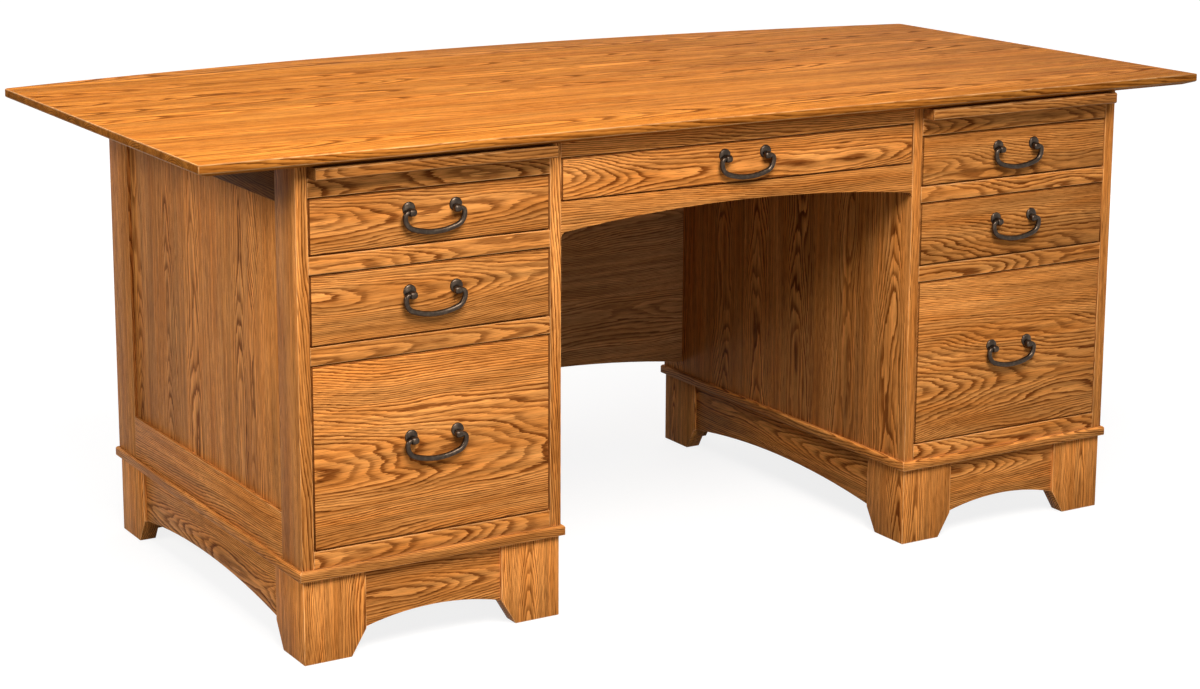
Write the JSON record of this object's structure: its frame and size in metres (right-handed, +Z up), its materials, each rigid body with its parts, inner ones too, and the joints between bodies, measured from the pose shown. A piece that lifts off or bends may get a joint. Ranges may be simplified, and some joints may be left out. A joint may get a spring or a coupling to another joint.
{
  "type": "executive desk",
  "caption": "Double-pedestal executive desk in stained oak with a bowed top, bracket feet, pull-out writing boards and drawers with drop-bail pulls.",
  "frame": {"origin": "on the floor, under the middle of the top's bounding rectangle", "axes": "+X along the desk to the user's right, +Y from the user to the bowed back, +Z up"},
  "size_m": [1.829, 0.927, 0.757],
  "materials": {
    "top_oak": "stained red oak, satin lacquer",
    "case_oak": "stained red oak, satin lacquer",
    "front_oak": "stained red oak, satin lacquer",
    "drawer_box_wood": "clear-finished pale hardwood",
    "slide_steel": "zinc-plated steel",
    "pull_bronze": "dark oil-rubbed bronze"
  },
  "bodies": {
    "desk": {"desktop": "top_oak", "pedestal_back_frames": "case_oak", "pedestal_back_panels": "case_oak", "pedestal_bottoms": "case_oak", "writing_board_runners": "drawer_box_wood", "centre_top_rail": "case_oak", "centre_apron": "case_oak", "modesty_panel": "case_oak", "case_slides": "slide_steel", "left_side_frame": "case_oak", "left_side_panel": "case_oak", "left_knee_side": "case_oak", "left_drawer_rails": "case_oak", "left_base_band": "case_oak", "left_feet": "case_oak", "left_plinth_rails": "case_oak", "right_side_frame": "case_oak", "right_side_panel": "case_oak", "right_knee_side": "case_oak", "right_drawer_rails": "case_oak", "right_base_band": "case_oak", "right_feet": "case_oak", "right_plinth_rails": "case_oak"},
    "left_file_drawer": {"left_file_front": "front_oak", "left_file_box": "drawer_box_wood", "left_file_slides": "slide_steel", "left_file_pull_posts": "pull_bronze"},
    "left_file_pull": {"left_file_bail": "pull_bronze"},
    "left_middle_drawer": {"left_middle_front": "front_oak", "left_middle_box": "drawer_box_wood", "left_middle_slides": "slide_steel", "left_middle_pull_posts": "pull_bronze"},
    "left_middle_pull": {"left_middle_bail": "pull_bronze"},
    "left_shallow_drawer": {"left_shallow_front": "front_oak", "left_shallow_box": "drawer_box_wood", "left_shallow_slides": "slide_steel", "left_shallow_pull_posts": "pull_bronze"},
    "left_shallow_pull": {"left_shallow_bail": "pull_bronze"},
    "right_file_drawer": {"right_file_front": "front_oak", "right_file_box": "drawer_box_wood", "right_file_slides": "slide_steel", "right_file_pull_posts": "pull_bronze"},
    "right_file_pull": {"right_file_bail": "pull_bronze"},
    "right_middle_drawer": {"right_middle_front": "front_oak", "right_middle_box": "drawer_box_wood", "right_middle_slides": "slide_steel", "right_middle_pull_posts": "pull_bronze"},
    "right_middle_pull": {"right_middle_bail": "pull_bronze"},
    "right_shallow_drawer": {"right_shallow_front": "front_oak", "right_shallow_box": "drawer_box_wood", "right_shallow_slides": "slide_steel", "right_shallow_pull_posts": "pull_bronze"},
    "right_shallow_pull": {"right_shallow_bail": "pull_bronze"},
    "centre_drawer": {"centre_front": "front_oak", "centre_box": "drawer_box_wood", "centre_slides": "slide_steel", "centre_pull_posts": "pull_bronze"},
    "centre_pull": {"centre_bail": "pull_bronze"},
    "left_board": {"left_writing_board": "front_oak"},
    "right_board": {"right_writing_board": "front_oak"}
  },
  "joints": [
    {"name": "left_file_drawer_slide", "type": "slide", "parent": "desk", "child": "left_file_drawer", "axis": [0, -1, 0], "range_m": [0, 0.48]},
    {"name": "left_file_pull_swing", "type": "hinge", "parent": "left_file_drawer", "child": "left_file_pull", "pos_m": [-0.544, -0.4395, 0.317], "axis": [-1, 0, 0], "range_deg": [-7, 100]},
    {"name": "left_middle_drawer_slide", "type": "slide", "parent": "desk", "child": "left_middle_drawer", "axis": [0, -1, 0], "range_m": [0, 0.48]},
    {"name": "left_middle_pull_swing", "type": "hinge", "parent": "left_middle_drawer", "child": "left_middle_pull", "pos_m": [-0.544, -0.4395, 0.53435], "axis": [-1, 0, 0], "range_deg": [-7, 100]},
    {"name": "left_shallow_drawer_slide", "type": "slide", "parent": "desk", "child": "left_shallow_drawer", "axis": [0, -1, 0], "range_m": [0, 0.48]},
    {"name": "left_shallow_pull_swing", "type": "hinge", "parent": "left_shallow_drawer", "child": "left_shallow_pull", "pos_m": [-0.544, -0.4395, 0.6557], "axis": [-1, 0, 0], "range_deg": [-7, 100]},
    {"name": "right_file_drawer_slide", "type": "slide", "parent": "desk", "child": "right_file_drawer", "axis": [0, -1, 0], "range_m": [0, 0.48]},
    {"name": "right_file_pull_swing", "type": "hinge", "parent": "right_file_drawer", "child": "right_file_pull", "pos_m": [0.544, -0.4395, 0.317], "axis": [-1, 0, 0], "range_deg": [-7, 100]},
    {"name": "right_middle_drawer_slide", "type": "slide", "parent": "desk", "child": "right_middle_drawer", "axis": [0, -1, 0], "range_m": [0, 0.48]},
    {"name": "right_middle_pull_swing", "type": "hinge", "parent": "right_middle_drawer", "child": "right_middle_pull", "pos_m": [0.544, -0.4395, 0.53435], "axis": [-1, 0, 0], "range_deg": [-7, 100]},
    {"name": "right_shallow_drawer_slide", "type": "slide", "parent": "desk", "child": "right_shallow_drawer", "axis": [0, -1, 0], "range_m": [0, 0.48]},
    {"name": "right_shallow_pull_swing", "type": "hinge", "parent": "right_shallow_drawer", "child": "right_shallow_pull", "pos_m": [0.544, -0.4395, 0.6557], "axis": [-1, 0, 0], "range_deg": [-7, 100]},
    {"name": "centre_drawer_slide", "type": "slide", "parent": "desk", "child": "centre_drawer", "axis": [0, -1, 0], "range_m": [0, 0.3]},
    {"name": "centre_pull_swing", "type": "hinge", "parent": "centre_drawer", "child": "centre_pull", "pos_m": [0, -0.4395, 0.687], "axis": [-1, 0, 0], "range_deg": [-7, 100]},
    {"name": "left_board_slide", "type": "slide", "parent": "desk", "child": "left_board", "axis": [0, -1, 0], "range_m": [0, 0.36]},
    {"name": "right_board_slide", "type": "slide", "parent": "desk", "child": "right_board", "axis": [0, -1, 0], "range_m": [0, 0.36]}
  ]
}
